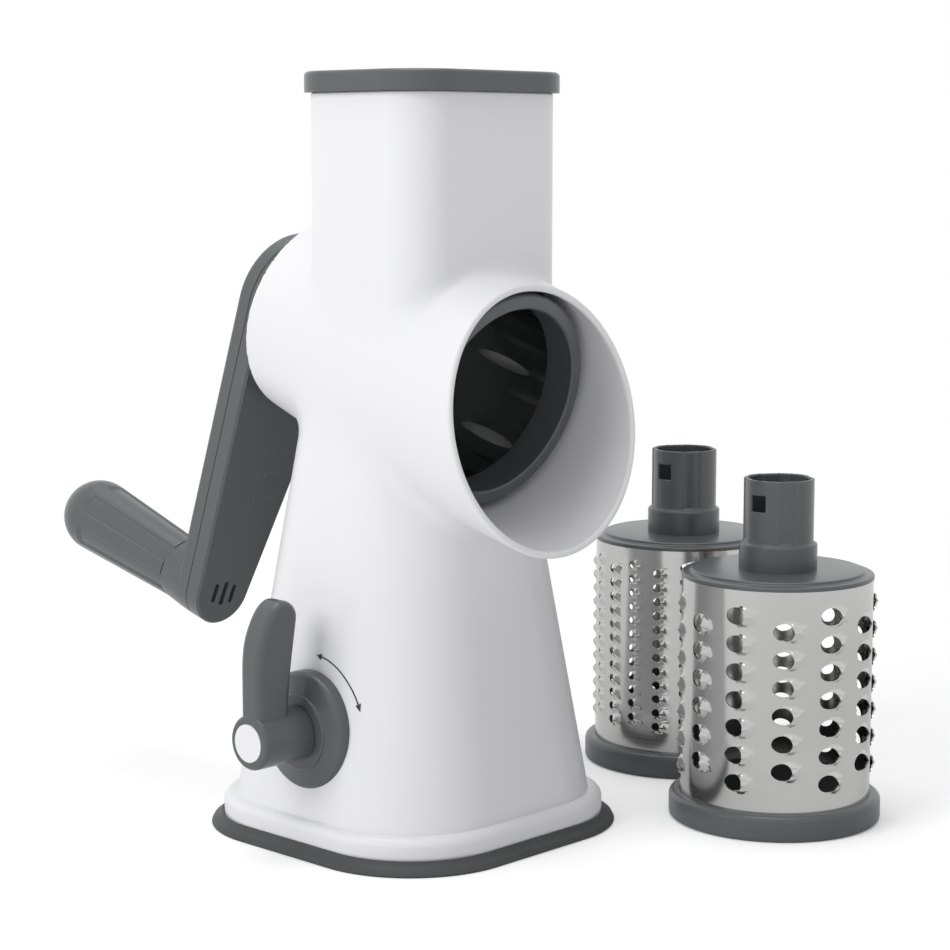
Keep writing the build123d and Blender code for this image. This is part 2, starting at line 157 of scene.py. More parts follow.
def moulded(name, colour, roughness, grain, depth, cloud=25.0, shade=0.93):
    """Moulded plastic or rubber: cloudy tone, uneven gloss and a fine grain raised by depth metres."""
    material = bpy.data.materials.new(name)
    material.use_nodes = True
    tree = material.node_tree
    shader = tree.nodes["Principled BSDF"]
    effect = tree.nodes.new("ShaderNodeGroup")
    effect.node_tree = GRAIN
    effect.inputs["Grain"].default_value = grain
    effect.inputs["Cloud"].default_value = cloud
    tone = tree.nodes.new("ShaderNodeMix")
    tone.data_type = "RGBA"
    tone.inputs[6].default_value = (*colour, 1)
    tone.inputs[7].default_value = (*[part * shade for part in colour], 1)
    tree.links.new(effect.outputs["Mask"], tone.inputs[0])
    tree.links.new(tone.outputs[2], shader.inputs["Base Color"])
    gloss = remap(material, effect.outputs["Mask"], roughness - GLOSS_SPREAD, roughness + GLOSS_SPREAD)
    tree.links.new(gloss, shader.inputs["Roughness"])
    bump = tree.nodes.new("ShaderNodeBump")
    bump.inputs["Distance"].default_value = depth
    tree.links.new(effect.outputs["Height"], bump.inputs["Height"])
    tree.links.new(bump.outputs["Normal"], shader.inputs["Normal"])
    return material


def sharpen(obj, angle=38.0, merge=2e-6):
    """Joins points that meet, to within merge metres, and keeps edges sharper than an angle crisp."""
    mesh = bmesh.new()
    mesh.from_mesh(obj.data)
    bmesh.ops.remove_doubles(mesh, verts=mesh.verts, dist=merge)
    mesh.to_mesh(obj.data)
    mesh.free()
    obj.data.set_sharp_from_angle(angle=radians(angle))


def paint(obj, material):
    """Gives an object one material."""
    obj.data.materials.clear()
    obj.data.materials.append(material)


black_rubber = moulded("black_rubber", (0.055, 0.056, 0.058), 0.55, 700.0, 0.00006)
pad_middle = PAD_HALF - POLE
pad_inside = PAD_HALF - PAD_RECESS
pad_profile = [(pad_middle, 0.0), (PAD_FLAT, 0.0), (PAD_LIP, 0.0)]
pad_profile += arc(PAD_LIP, PAD_LIP, PAD_LIP, 270, 120, 10)
pad_profile += arc(PAD_CURVE_IN, PAD_TOP + PAD_CURVE_RISE, PAD_CURVE_R, *PAD_CURVE_SWEEP, 12)
pad_profile += [(PAD_NECK, PAD_TOP), (PAD_SEAT, PAD_TOP), (pad_inside, PAD_TOP)]
pad_profile += [(pad_inside, PAD_SKIN), (pad_middle, PAD_SKIN)]
suction_pad = surface("suction_pad_skin", wall(pad_profile, PAD_HALF, PAD_HALF, PAD_CORNER), along=True)
paint(suction_pad, black_rubber)
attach(suction_pad, "base")
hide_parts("suction_pad")


# Base: a white skirt with a rounded ledge, and a grey floor plate inside it.
# Four screws pull plate and skirt up against the posts in the housing.
white_abs = moulded("white_abs", (0.83, 0.83, 0.845), 0.36, 1400.0, 0.000012, 12.0, 0.985)
inner_plastic = moulded("inner_plastic", (0.5, 0.5, 0.5), 0.45, 800.0, 0.00003)


def steel_group():
    """Fine drawn lines on polished metal: noise squeezed along one direction of Object coordinates."""
    group, start, end = new_group("drawn_lines", {"Along": 30.0, "Across": 2600.0}, ["Lines", "Mask"])
    place = group.nodes.new("ShaderNodeTexCoord")
    size = group.nodes.new("ShaderNodeCombineXYZ")
    for axis, label in (("X", "Along"), ("Y", "Along"), ("Z", "Across")):
        group.links.new(start.outputs[label], size.inputs[axis])
    squeezed = group.nodes.new("ShaderNodeVectorMath")
    squeezed.operation = "MULTIPLY"
    group.links.new(place.outputs["Object"], squeezed.inputs[0])
    group.links.new(size.outputs["Vector"], squeezed.inputs[1])
    for output, scale, detail in (("Lines", 1.0, 1.0), ("Mask", 0.02, 3.0)):
        noise = group.nodes.new("ShaderNodeTexNoise")
        noise.inputs["Scale"].default_value = scale
        noise.inputs["Detail"].default_value = detail
        group.links.new(squeezed.outputs["Vector"], noise.inputs["Vector"])
        group.links.new(noise.outputs["Fac"], end.inputs[output])
    return group


DRAWN = steel_group()


def polished(name, colour, low, high, depth, shade=0.9):
    """Polished metal with faint drawn lines in its gloss and surface."""
    material = bpy.data.materials.new(name)
    material.use_nodes = True
    tree = material.node_tree
    shader = tree.nodes["Principled BSDF"]
    shader.inputs["Metallic"].default_value = 1.0
    effect = tree.nodes.new("ShaderNodeGroup")
    effect.node_tree = DRAWN
    tone = tree.nodes.new("ShaderNodeMix")
    tone.data_type = "RGBA"
    tone.inputs[6].default_value = (*colour, 1)
    tone.inputs[7].default_value = (*[part * shade for part in colour], 1)
    tree.links.new(effect.outputs["Mask"], tone.inputs[0])
    tree.links.new(tone.outputs[2], shader.inputs["Base Color"])
    tree.links.new(remap(material, effect.outputs["Lines"], low, high), shader.inputs["Roughness"])
    bump = tree.nodes.new("ShaderNodeBump")
    bump.inputs["Distance"].default_value = depth
    tree.links.new(effect.outputs["Lines"], bump.inputs["Height"])
    tree.links.new(bump.outputs["Normal"], shader.inputs["Normal"])
    return material


screw_steel = polished("screw_steel", (0.5, 0.5, 0.51), 0.25, 0.4, 0.00001)
paint(nodes["base_ring"], white_abs)
paint(nodes["base_plate"], inner_plastic)
paint(nodes["base_screws"], screw_steel)


# Housing: hopper, sloping barrel and hollow pedestal, moulded in one piece of smooth white ABS.
# The corners where they meet are filleted, and the barrel flares to a leaning round mouth.
AXIS_Z = 170.0
DIP = radians(16.0)
HOPPER = (38.2, 30.9, 16.0)
HOPPER_Y = -10.9
HOPPER_TOP = 262.75
HOPPER_WALL = 2.8
HOPPER_FROM = 4.0
THROAT_FROM = 10.0
LIP_COVERED = 1.6
LIP_ROUND = 0.8
LIP_REACH = 7.0
BARREL_REAR = -47.5
BARREL_FRONT = 28.0
BARREL_WALL = 2.5
REAR_R = 38.0
FRONT_R = 44.4
MOUTH_AT = 67.8
MOUTH_R = 46.8
MOUTH_LEAN = radians(25.3)
FOOT_Z = 12.0
FOOT_SUNK = 1.4
FOOT = (55.8, 55.8, 36.0)
NECK_Z = 158.0
NECK = (37.0, 32.0, 27.0)
PEDESTAL_WALL = 3.0
PEDESTAL_TO = -6.0
HOLLOW_TO = -20.0
LEVER_Z = 42.5
LEVER_HOLE_R = 7.2
LEVER_HOLE_TO = -40.0
BUSH_HOLE_R = 19.0
BUSH_HOLE_DEPTH = 9.0
HOPPER_FILLET = 4.0
NECK_FILLET = 7.0
EDGE_ROUND = 1.6
CUT_ROUND = 1.0
HOLLOW_ROUND = 0.8
FOOT_ROUND = 0.4
HOLE_ROUND = 0.3
RIM_R = 1.25
RIM_REACH = 6.5
RIM_COVER = 0.05
RIM_TRIM = 3.0
HOUSING_LOW = (-59.0, -78.0, 8.0)
HOUSING_HIGH = (59.0, 60.0, 266.0)
CELL = 1.5


def rectangle_distance(x, y, half_x, half_y, corner):
    """Distance to a rectangle with round corners, negative inside."""
    past_x = np.abs(x) - half_x + corner
    past_y = np.abs(y) - half_y + corner
    outside = np.hypot(np.maximum(past_x, 0), np.maximum(past_y, 0))
    return outside + np.minimum(np.maximum(past_x, past_y), 0) - corner


def melt(a, b, width):
    """Union of two distances, with the inner corner filled by a parabola of that width."""
    overlap = np.maximum(width - np.abs(a - b), 0) / width
    return np.minimum(a, b) - overlap * overlap * width / 4


def keep(a, b, width=EDGE_ROUND):
    """What two distances share, with the outer edge rounded off."""
    return -melt(-a, -b, width)


def to_barrel(y, z):
    """Height above the barrel's axis, and place along it, positive towards the mouth."""
    up = -y * sin(DIP) + (z - AXIS_Z) * cos(DIP)
    along = -y * cos(DIP) - (z - AXIS_Z) * sin(DIP)
    return up, along


def barrel_side(x, up, along, inset):
    """Distance to the cone that becomes the mouth's leaning ellipse in front, moved in by an inset."""
    rear = REAR_R - inset
    front = FRONT_R - inset
    mouth = MOUTH_R - inset
    on_cone = rear + (front - rear) * (along - BARREL_REAR) / (BARREL_FRONT - BARREL_REAR)
    reach = MOUTH_AT - up * tan(MOUTH_LEAN) - BARREL_FRONT
    share = np.clip((along - BARREL_FRONT) / np.maximum(reach, 1.0), 0, 1.2)
    cone = np.minimum(on_cone, front)
    half_x = cone + (mouth - front) * share
    half_up = cone + (mouth * cos(MOUTH_LEAN) - front) * share
    return (np.hypot(x / half_x, up / half_up) - 1) * front


def housing_distance(x, y, z):
    """Distance to the housing: its outer forms melted together, less bore, throat, hollow and holes."""
    up, along = to_barrel(y, z)
    past_mouth = up * sin(MOUTH_LEAN) + (along - MOUTH_AT) * cos(MOUTH_LEAN) + RIM_TRIM
    barrel = keep(barrel_side(x, up, along, 0), BARREL_REAR - along)
    hopper = rectangle_distance(x, y - HOPPER_Y, *HOPPER)
    share = (z - FOOT_Z) / (NECK_Z - FOOT_Z)
    sizes = [foot + (neck - foot) * share for foot, neck in zip(FOOT, NECK)]
    pedestal = rectangle_distance(x, y, *sizes)
    outer = melt(barrel, np.maximum(hopper, HOPPER_FROM - up), HOPPER_FILLET)
    outer = melt(outer, np.maximum(pedestal, up - PEDESTAL_TO), NECK_FILLET)
    outer = keep(outer, past_mouth, CUT_ROUND)
    outer = keep(outer, z - HOPPER_TOP + LIP_COVERED, CUT_ROUND)
    outer = keep(outer, FOOT_Z - FOOT_SUNK - z, FOOT_ROUND)
    bore = np.maximum(barrel_side(x, up, along, BARREL_WALL), BARREL_REAR + BARREL_WALL - along)
    throat = rectangle_distance(x, y - HOPPER_Y, *[size - HOPPER_WALL for size in HOPPER])
    throat = np.maximum(throat, THROAT_FROM - up)
    hollow = rectangle_distance(x, y, *[size - PEDESTAL_WALL for size in sizes])
    hollow = np.maximum(np.maximum(hollow, PEDESTAL_WALL - barrel), up - HOLLOW_TO)
    hole = np.maximum(np.hypot(y, z - LEVER_Z) - LEVER_HOLE_R, x - LEVER_HOLE_TO)
    bush = np.maximum(np.hypot(x, up) - BUSH_HOLE_R, along - BARREL_REAR - BUSH_HOLE_DEPTH)
    shell = keep(keep(outer, -np.minimum(bore, throat)), -hollow, HOLLOW_ROUND)
    return keep(keep(shell, -hole, HOLE_ROUND), -bush, HOLE_ROUND)


def skin(field, low, cell):
    """Surface of a sampled field: a point in each cell that it crosses, at the mean of the crossings on the
    cell's edges, and a face about each crossed edge. Returns points and faces."""
    inside = field < 0
    shape = tuple(np.array(field.shape) - 1)
    total = np.zeros((*shape, 3))
    count = np.zeros(shape)
    crossings = []
    for axis in range(3):
        sides = [other for other in range(3) if other != axis]
        first = np.moveaxis(field, axis, 0)[:-1]
        second = np.moveaxis(field, axis, 0)[1:]
        crossed = (first < 0) != (second < 0)
        share = np.where(crossed, first / np.where(crossed, first - second, 1), 0)
        crossed = np.moveaxis(crossed, 0, axis)
        share = np.moveaxis(share, 0, axis)
        crossings.append(crossed)
        for step_a in (0, 1):
            for step_b in (0, 1):
                cut = [slice(None)] * 3
                cut[sides[0]] = slice(step_a, step_a + shape[sides[0]])
                cut[sides[1]] = slice(step_b, step_b + shape[sides[1]])
                here = crossed[tuple(cut)]
                total[..., axis] += share[tuple(cut)]
                total[..., sides[0]] += here * step_a
                total[..., sides[1]] += here * step_b
                count += here
    used = count > 0
    number = np.full(shape, -1)
    number[used] = np.arange(used.sum())
    points = low + (np.argwhere(used) + total[used] / count[used][:, None]) * cell
    faces = []
    for axis in range(3):
        side_a, side_b = (axis + 1) % 3, (axis + 2) % 3
        at = np.argwhere(crossings[axis])
        at = at[(at[:, side_a] > 0) & (at[:, side_b] > 0)]
        at = at[(at[:, side_a] < shape[side_a]) & (at[:, side_b] < shape[side_b])]
        around = []
        for step_a, step_b in ((1, 1), (0, 1), (0, 0), (1, 0)):
            corner = at.copy()
            corner[:, side_a] -= step_a
            corner[:, side_b] -= step_b
            around.append(number[tuple(corner.T)])
        quads = np.stack(around, axis=-1)
        outward = inside[tuple(at.T)]
        faces.append(np.where(outward[:, None], quads, quads[:, ::-1]))
    return points, np.concatenate(faces)


def slope(distance, points, step=0.05):
    """Direction in which a distance grows fastest, from differences on both sides."""
    parts = []
    for axis in range(3):
        shift = np.zeros(3)
        shift[axis] = step
        ahead = distance(*(points + shift).T)
        behind = distance(*(points - shift).T)
        parts.append((ahead - behind) / (2 * step))
    return np.stack(parts, axis=-1)


def settled(distance, low, high, cell, rounds=5, reach=0.3, least=0.2):
    """Surface of a distance: its skin on a grid, moved onto the surface along the slope in a few rounds, each
    by no more than the reach as a share of a cell. Returns points, faces and normals."""
    steps = [np.arange(start, end, cell) for start, end in zip(low, high)]
    points, faces = skin(distance(*np.meshgrid(*steps, indexing="ij")), np.array(low), cell)
    for turn in range(rounds):
        grow = slope(distance, points)
        steep = np.maximum((grow * grow).sum(axis=1), least)
        move = distance(*points.T) / steep
        points -= np.clip(move, -reach * cell, reach * cell)[:, None] * grow
    normals = slope(distance, points)
    normals /= np.linalg.norm(normals, axis=1)[:, None]
    return points, faces, normals


def from_barrel(x, up, along):
    """Points given across, above and along the barrel's axis, in the frame of the whole object."""
    y = -up * sin(DIP) - along * cos(DIP)
    z = AXIS_Z + up * cos(DIP) - along * sin(DIP)
    return np.stack(np.broadcast_arrays(x, y, z), axis=-1)


def bell(depth, turn, inset, rounds=4):
    """The barrel's front wall at a depth behind the mouth's plane: an ellipse that grows with its share of
    the way from the cone's end to the mouth. The share depends on the height, so rounds of trial find it."""
    front = FRONT_R - inset
    mouth = MOUTH_R - inset
    share = 1.0
    for trial in range(rounds):
        up = (front + (mouth * cos(MOUTH_LEAN) - front) * share) * np.sin(turn)
        reach = MOUTH_AT - up * tan(MOUTH_LEAN) - BARREL_FRONT
        share = 1 - depth / (reach * cos(MOUTH_LEAN))
    x = (front + (mouth - front) * share) * np.cos(turn)
    return np.stack(np.broadcast_arrays(x, up, BARREL_FRONT + share * reach), axis=-1)


def mouth_rim(count=240, rows=5, bends=11):
    """The mouth's edge: the outer wall, a half circle across the thickness, and the inner wall."""
    turn = np.arange(count) * 2 * pi / count
    depth = np.linspace(RIM_REACH, RIM_R, rows)[:, None]
    outer = bell(depth, turn, -RIM_COVER)
    inner = bell(depth[::-1], turn, 2 * RIM_R + RIM_COVER)
    bend = np.radians(np.linspace(0, 180, bends))[1:-1, None, None]
    middle = (outer[-1] + inner[0]) / 2
    out = np.array([0.0, sin(MOUTH_LEAN), cos(MOUTH_LEAN)])
    edge = middle + (outer[-1] - middle) * np.cos(bend) + out * RIM_R * np.sin(bend)
    return from_barrel(*np.moveaxis(np.concatenate([outer, edge, inner]), -1, 0))


housing = mesh_object("housing_shell", *settled(housing_distance, HOUSING_LOW, HOUSING_HIGH, CELL))
rim = surface("housing_mouth_rim", mouth_rim(), along=True)
lip_foot = HOPPER_TOP - LIP_REACH
lip_bend = HOPPER_TOP - LIP_ROUND
lip_inside = HOPPER_WALL + RIM_COVER
lip_profile = [(-RIM_COVER, lip_foot)] + arc(LIP_ROUND - RIM_COVER, lip_bend, LIP_ROUND, 180, 90, 6)
lip_profile += arc(lip_inside - LIP_ROUND, lip_bend, LIP_ROUND, 90, 0, 6) + [(lip_inside, lip_foot)]
lip = surface("hopper_lip", wall(lip_profile, *HOPPER) + np.array([0.0, HOPPER_Y, 0.0]), along=True)
sharpen(rim)
sharpen(lip)
for piece in (housing, rim, lip):
    paint(piece, white_abs)
    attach(piece, "base")
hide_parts("housing")


# Printed arrow: a thin curved line with two heads, pad-printed beside the suction lever.
# It shows which way the lever turns, and follows the pedestal's surface.
ARROW_R = 26.3
ARROW_FROM = 3.0
ARROW_TO = 68.0
ARROW_LINE = 0.27
ARROW_HEAD = 1.15
ARROW_HEAD_LENGTH = 2.7
ARROW_TIP = 0.02
ARROW_STEPS = 40
INK = 0.06


def onto_pedestal(y, z, start=-62.0, rounds=60, share=0.9):
    """Where a line along X from the lever's side meets the housing, by steps of what is left to it."""
    x = np.full(y.shape, start)
    for step in range(rounds):
        x = x + share * housing_distance(x, y, z)
    return x


print_ink = moulded("print_ink", (0.045, 0.045, 0.05), 0.5, 1200.0, 0.00001)
head_turn = ARROW_HEAD_LENGTH / ARROW_R * 180 / pi
line_turn = np.linspace(ARROW_FROM + head_turn, ARROW_TO - head_turn, ARROW_STEPS)
arrow_turn = np.radians(np.concatenate([[ARROW_FROM, line_turn[0]], line_turn, [line_turn[-1], ARROW_TO]]))
line_half = np.full(ARROW_STEPS, ARROW_LINE)
arrow_half = np.concatenate([[ARROW_TIP, ARROW_HEAD], line_half, [ARROW_HEAD, ARROW_TIP]])
arrow_r = ARROW_R + np.stack([arrow_half, 0 * arrow_half, -arrow_half])
arrow_y = -arrow_r * np.sin(arrow_turn)
arrow_z = LEVER_Z + arrow_r * np.cos(arrow_turn)
arrow_x = onto_pedestal(arrow_y, arrow_z) - INK
arrow = surface("printed_arrow", np.stack([arrow_x, arrow_y, arrow_z], axis=-1), around=False)
solid = arrow.modifiers.new("ink_layer", "SOLIDIFY")
solid.thickness = INK * MM
solid.offset = 0
paint(arrow, print_ink)
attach(arrow, "base")


# Suction lever: a dark grey hub with a paddle, on a cam shaft that draws the pad's middle up.
# A white disc covers the screw, and a bevelled plate with a bush guides the shaft.
ESCUTCHEON_R = 21.0
ESCUTCHEON_OUT = 57.0
ESCUTCHEON_IN = 49.4
ESCUTCHEON_ROUND = 2.6
ESCUTCHEON_DROP = 4.4
STEP_FOOT_R = 14.2
STEP_FOOT_DROP = 1.2
STEP_R = 13.4
STEP_ROUND = 0.8
dark_abs = moulded("dark_abs", (0.095, 0.105, 0.109), 0.29, 1100.0, 0.00002, 30.0, 0.92)


def lathe(profile, count=128):
    """A profile of (radius, height) points turned about the Z axis."""
    radius, height = np.array(profile, float).T[:, :, None]
    turn = np.arange(count) * 2 * pi / count
    return np.stack(np.broadcast_arrays(radius * np.cos(turn), radius * np.sin(turn), height), axis=-1)


def on_lever_axis(points):
    """Turns a form made about Z onto the lever's axis, which runs along X."""
    x, y, z = np.moveaxis(points, -1, 0)
    return np.stack([-z, y, x + LEVER_Z], axis=-1)


plate_profile = [(LEVER_HOLE_R, ESCUTCHEON_IN), (ESCUTCHEON_R, ESCUTCHEON_IN)]
plate_bend = ESCUTCHEON_R - ESCUTCHEON_ROUND
plate_profile += arc(plate_bend, ESCUTCHEON_OUT - ESCUTCHEON_DROP, ESCUTCHEON_ROUND, 0, 72, 9)
plate_profile += [(STEP_FOOT_R, ESCUTCHEON_OUT - STEP_FOOT_DROP)]
plate_profile += arc(STEP_R - STEP_ROUND, ESCUTCHEON_OUT - STEP_ROUND, STEP_ROUND, 0, 90, 6)
plate_profile += [(LEVER_HOLE_R, ESCUTCHEON_OUT)]
escutcheon = surface("lever_escutcheon_plate", on_lever_axis(lathe(plate_profile)), along=True)
sharpen(escutcheon)
paint(escutcheon, dark_abs)
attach(escutcheon, "base")
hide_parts("lever_escutcheon")
paint(nodes["suction_lever"], dark_abs)
paint(nodes["lever_cap"], white_abs)
paint(nodes["lever_screw"], screw_steel)
for part in ("lever_bush", "crank_bush", "lever_shaft", "suction_stem", "lift_disc"):
    paint(nodes[part], inner_plastic)


# Drums: a punched and rolled sheet of polished stainless steel, a dark flange ring and a hub.
# One drum is in the barrel, for slices; the coarse and the fine grater stand beside the machine.
# The teeth are pressed outwards, and the hub's grooves and window lock it into the crank.
SHEET_R = 34.7
SHEET_T = 0.6
SHEET_Z0 = 3.5
SHEET_Z1 = 89.5
SHEET_GAP = 0.1
SEAM_LEAST = 0.01
LATTICE_REACH = 60
TOOTH_FOOT = 0.2
TOOTH_LIP = 0.7
TOOTH_END = 0.44
TOOTH_WIDTH = 1.25
TOOTH_TAPER = 0.5
RIDGE_HEIGHT = 0.14
FLANGE_R = 38.7
FLANGE_H = 9.5
FLANGE_FOOT_ROUND = 1.6
FLANGE_TOP_ROUND = 2.2
SLEEVE_R = 33.5
SLEEVE_OUT_R = 34.05
SLEEVE_H = 12.5
SLEEVE_BREAK = 0.6
END_PLUG_R = 34.0
END_PLUG_LOW = 85.0
END_R = 34.95
END_TOP = 91.0
END_ROUND = 0.7
DISC_FOOT_R = 32.4
DISC_R = 31.6
DISC_TOP = 92.3
DISC_ROUND = 0.8
HUB_SEAT_R = 14.0
HUB_FOOT = 90.4
HUB_FOOT_ROUND = 0.3
HUB_R = 12.75
HUB_BASE_R = 14.2
HUB_BASE_END = 102.0
HUB_BASE_ROUND = 1.2
HUB_FILLET = 1.0
HUB_END = 125.5
HUB_ROUND = 0.5
HUB_WALL = 1.3
HUB_FLOOR = 96.0
HUB_GROOVES = 4
HUB_GROOVE = 0.55
HUB_GROOVE_TURN = radians(234.5)
HUB_GROOVE_EDGE = 0.5
HUB_GROOVE_SIDE = 0.16
HUB_GROOVE_FOOT = 0.6
HUB_GROOVE_RUN_OUT = 0.4
WINDOW_HALF = 3.0
WINDOW_DOWN = 8.5
WINDOW_TO = -5.0
WINDOW_ROUND = 0.3
HUB_LOW = (-15.0, -15.0, 89.0)
HUB_HIGH = (15.0, 15.0, 127.0)
HUB_CELL = 0.6
DRUM_FRONT = 47.5
COARSE_XY = (96.1, -92.0)
FINE_XY = (139.1, -13.4)
bright_steel = polished("bright_steel", (0.57, 0.568, 0.56), 0.1, 0.18, 0.000002)


def tooth(u, w, hole, lip, end, lift, ridges):
    """Height of the metal round an opening. It rises past the middle of the hole to the lip on the far
    side, then runs out to the end in a shell that narrows, with ridges along it."""
    foot = TOOTH_FOOT * hole[0]
    rise = np.clip((u + foot) / (lip + foot), 0, 1)
    fall = np.clip((u - lip) / (end - lip), 0, 1)
    width = TOOTH_WIDTH * hole[1] * (1 - TOOTH_TAPER * fall)
    across = np.clip(1 - (w / width) ** 2, 0, 1)
    wave = 1 + RIDGE_HEIGHT * np.cos(pi * ridges * w / width) * (ridges > 0)
    return lift * rise * rise * (3 - 2 * rise) * (1 - fall) ** 1.5 * across * wave


def on_sheet(turn, height, u, w, lift, lean):
    """Points of the rolled sheet, u along it and w up it from a place, raised by lift, and their normals,
    which lean along, up and out by the three parts of lean."""
    theta = turn + u / SHEET_R
    radius = SHEET_R + lift
    flat = np.zeros_like(theta)
    along = np.stack([-np.sin(theta), np.cos(theta), flat], axis=-1)
    out = np.stack([np.cos(theta), np.sin(theta), flat], axis=-1)
    points = out * radius[..., None]
    points[..., 2] = height + w
    normals = along * lean[0][..., None] + out * lean[2][..., None]
    normals[..., 2] = lean[1]
    return points, normals


def punched_cells(turn, heights, cell, hole, lift, ridges, rings, edge, ease=1.4, near=0.05):
    """Patches of sheet round each opening: rings of points from the cell's rectangle in to the hole, whose
    far side is cut short by the tooth's lip, then the cut edge, then the inside. Each has its own points,
    and its normals come from the tooth's slope between near points."""
    side = np.arange(edge) / edge * 2 - 1
    one = np.ones(edge)
    box_u = np.concatenate([side, one, -side, -one]) * cell[0] / 2
    box_w = np.concatenate([-one, side, one, -side]) * cell[1] / 2
    angle = np.arctan2(box_w / cell[1], box_u / cell[0])
    lip = TOOTH_LIP * hole[0]
    end = TOOTH_END * cell[0]
    hole_u = np.where(np.cos(angle) > 0, lip, hole[0]) * np.cos(angle)
    hole_w = hole[1] * np.sin(angle)
    share = 1 - (1 - np.linspace(0, 1, rings)[:, None]) ** ease
    u = box_u + (hole_u - box_u) * share
    w = box_w + (hole_w - box_w) * share
    raised = tooth(u, w, hole, lip, end, lift, ridges)
    slope_u = (tooth(u + near, w, hole, lip, end, lift, ridges) - raised) / near
    slope_w = (tooth(u, w + near, hole, lip, end, lift, ridges) - raised) / near
    steep = np.sqrt(1 + slope_u ** 2 + slope_w ** 2)
    zero = np.zeros((2, 4 * edge))
    lean = [np.concatenate([-slope_u / steep, zero - np.cos(angle), zero]),
            np.concatenate([-slope_w / steep, zero - np.sin(angle), zero]),
            np.concatenate([1 / steep, zero, zero - 1])]
    rows = list(range(rings)) + [-1, -1, -1, 0]
    drop = np.array([0.0] * rings + [0, 1, 1, 1])[:, None] * SHEET_T
    turns = turn[:, None, None] + 0 * u[rows]
    return on_sheet(turns, heights[:, None, None], u[rows], w[rows], raised[rows] - drop, lean)


def plain_strips(start, end, low, high, lattice, steps, close=0.01):
    """Plain piece of the sheet between two angles and two heights: its outside and inside, and the cut
    edges where it reaches the sheet's ends. Its rows stand at the heights of the cells' own points."""
    between = lattice[(lattice > low + close) & (lattice < high - close)]
    z = np.concatenate([[low], between, [high]])
    faces = [(z, 0 * z, (0, 1)), (z[::-1], 0 * z - SHEET_T, (0, -1))]
    if high == SHEET_Z1:
        faces.append((np.full(2, high), np.array([0, -SHEET_T]), (1, 0)))
    if low == SHEET_Z0:
        faces.append((np.full(2, low), np.array([-SHEET_T, 0]), (-1, 0)))
    turn = np.linspace(start, end, steps + 1)
    for height, lift, (up, out) in faces:
        flat = np.zeros((len(height), steps + 1))
        lean = [flat, flat + up, flat + out]
        yield on_sheet(turn + flat, height[:, None], flat, flat, lift[:, None] + flat, lean)


def punched_sheet(name, place, layout, hole, lift, ridges, rings, edge):
    """Drum sheet: patches round the openings, plain pieces above and below them, and a plain strip at the
    seam. The layout is the first angle, the angle between columns, how many there are, the distance between
    openings, and for even and odd columns how many openings there are and their middle. The hole is half its
    length and half its height."""
    first, pitch, columns, step, even, odd = layout
    pitch = radians(pitch)
    turns = radians(first) + pitch * np.arange(columns)
    stacks = [even if column % 2 == 0 else odd for column in range(columns)]
    where = np.concatenate([np.full(count, turn) for turn, (count, middle) in zip(turns, stacks)])
    levels = [middle + step * (np.arange(count) - (count - 1) / 2) for count, middle in stacks]
    heights = np.concatenate(levels)
    cells, leans = punched_cells(where, heights, (pitch * SHEET_R, step), hole, lift, ridges, rings, edge)
    around = 4 * edge
    starts = np.arange(len(cells))[:, None, None] * (rings + 4) * around
    quads = []
    for row, count in ((0, rings), (rings, 2), (rings + 2, 2)):
        quads.append((grid_quads(count, around, row * around) + starts).reshape(-1, 4))
    points = [cells.reshape(-1, 3)]
    normals = [leans.reshape(-1, 3)]
    lattice = even[1] + step / edge * np.arange(-LATTICE_REACH, LATTICE_REACH + 1)
    plain = []
    if columns * pitch < 2 * pi - SEAM_LEAST:
        plain.append((turns[-1] + pitch / 2, turns[0] - pitch / 2 + 2 * pi, SHEET_Z0, SHEET_Z1))
    for turn, (count, middle) in zip(turns, stacks):
        reach = step * count / 2
        plain.append((turn - pitch / 2, turn + pitch / 2, SHEET_Z0, middle - reach))
        plain.append((turn - pitch / 2, turn + pitch / 2, middle + reach, SHEET_Z1))
    total = len(points[0])
    for piece in plain:
        for strip, lean in plain_strips(*piece, lattice, edge):
            points.append(strip.reshape(-1, 3))
            normals.append(lean.reshape(-1, 3))
            quads.append(grid_quads(*strip.shape[:2], total, around=False))
            total += len(points[-1])
    points = np.concatenate(points)
    normals = place(points + np.concatenate(normals)) - place(points)
    sheet = mesh_object(name, place(points), np.concatenate(quads), normals)
    paint(sheet, bright_steel)
    return sheet


def standing(spot):
    """Places a drum made round Z on the worktop at a spot."""
    return lambda points: points + np.array([*spot, 0.0])


def in_barrel(points):
    """Places a drum made round Z in the barrel, hub to the rear."""
    x, y, z = np.moveaxis(points, -1, 0)
    return from_barrel(x, -y, DRUM_FRONT - z)


def hub_distance(x, y, z):
    """Distance to a drum's hub: a tube on a collar, with four shallow grooves that show in the bore, and a
    square window."""
    radius = np.hypot(x, y)
    turn = np.arctan2(y, x)
    wave = np.cos(HUB_GROOVES * (turn - HUB_GROOVE_TURN))
    groove = np.clip((wave - HUB_GROOVE_EDGE) / HUB_GROOVE_SIDE, 0, 1) * HUB_GROOVE
    grooved = groove * np.clip((z - HUB_BASE_END - HUB_GROOVE_FOOT) / HUB_GROOVE_RUN_OUT, 0, 1)
    body = keep(radius - HUB_R + grooved, z - HUB_END, HUB_ROUND)
    collar = keep(radius - HUB_BASE_R, z - HUB_BASE_END, HUB_BASE_ROUND)
    outer = keep(melt(body, collar, HUB_FILLET), HUB_FOOT - z, HUB_FOOT_ROUND)
    bore = np.maximum(radius - HUB_R + HUB_WALL + groove, HUB_FLOOR - z)
    beside = np.maximum(np.abs(y), np.abs(z - HUB_END + WINDOW_DOWN)) - WINDOW_HALF
    window = np.maximum(beside, x - WINDOW_TO)
    return keep(keep(outer, -bore, HUB_ROUND), -window, WINDOW_ROUND)


